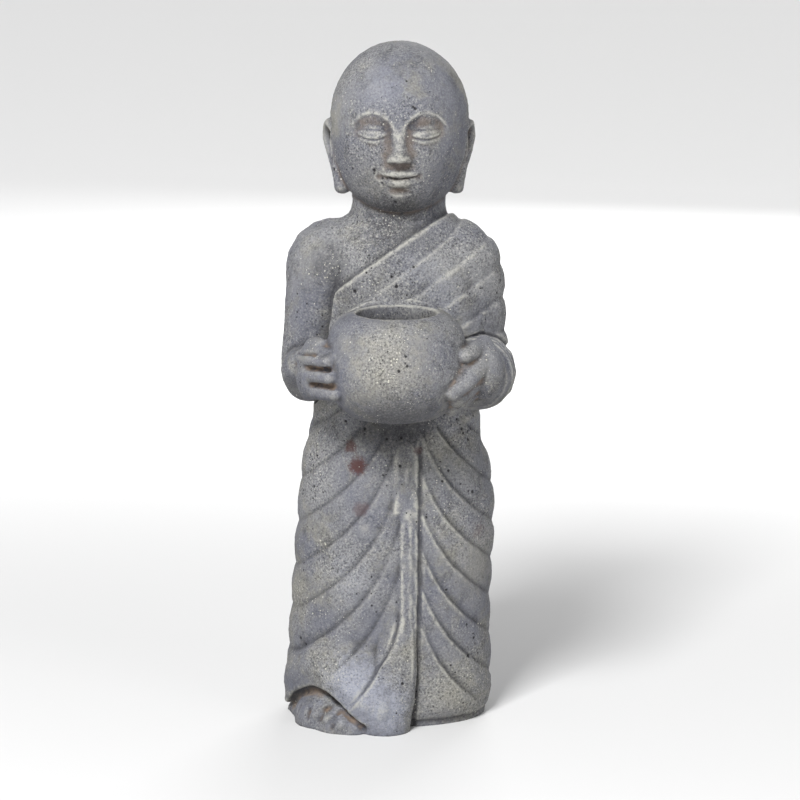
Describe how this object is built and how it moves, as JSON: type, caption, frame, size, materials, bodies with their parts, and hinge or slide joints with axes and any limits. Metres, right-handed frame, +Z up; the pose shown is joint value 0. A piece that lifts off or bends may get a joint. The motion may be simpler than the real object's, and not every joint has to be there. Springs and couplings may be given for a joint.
{
  "type": "garden monk statue",
  "caption": "Standing young monk in a draped robe with one shoulder bare, holding an open alms bowl, cast in dark volcanic stone.",
  "frame": {"origin": "on the ground under the axis of the body, at the middle of the statue's underside", "axes": "+Z up along the height, -Y the way the statue faces, +X to the statue's left"},
  "size_m": [0.207, 0.2193, 0.6],
  "materials": {
    "cast_lava_stone": "rough weathered volcanic stone, matt, with pores and pale grit"
  },
  "bodies": {
    "root": {"monk_statue": "cast_lava_stone"}
  },
  "joints": []
}
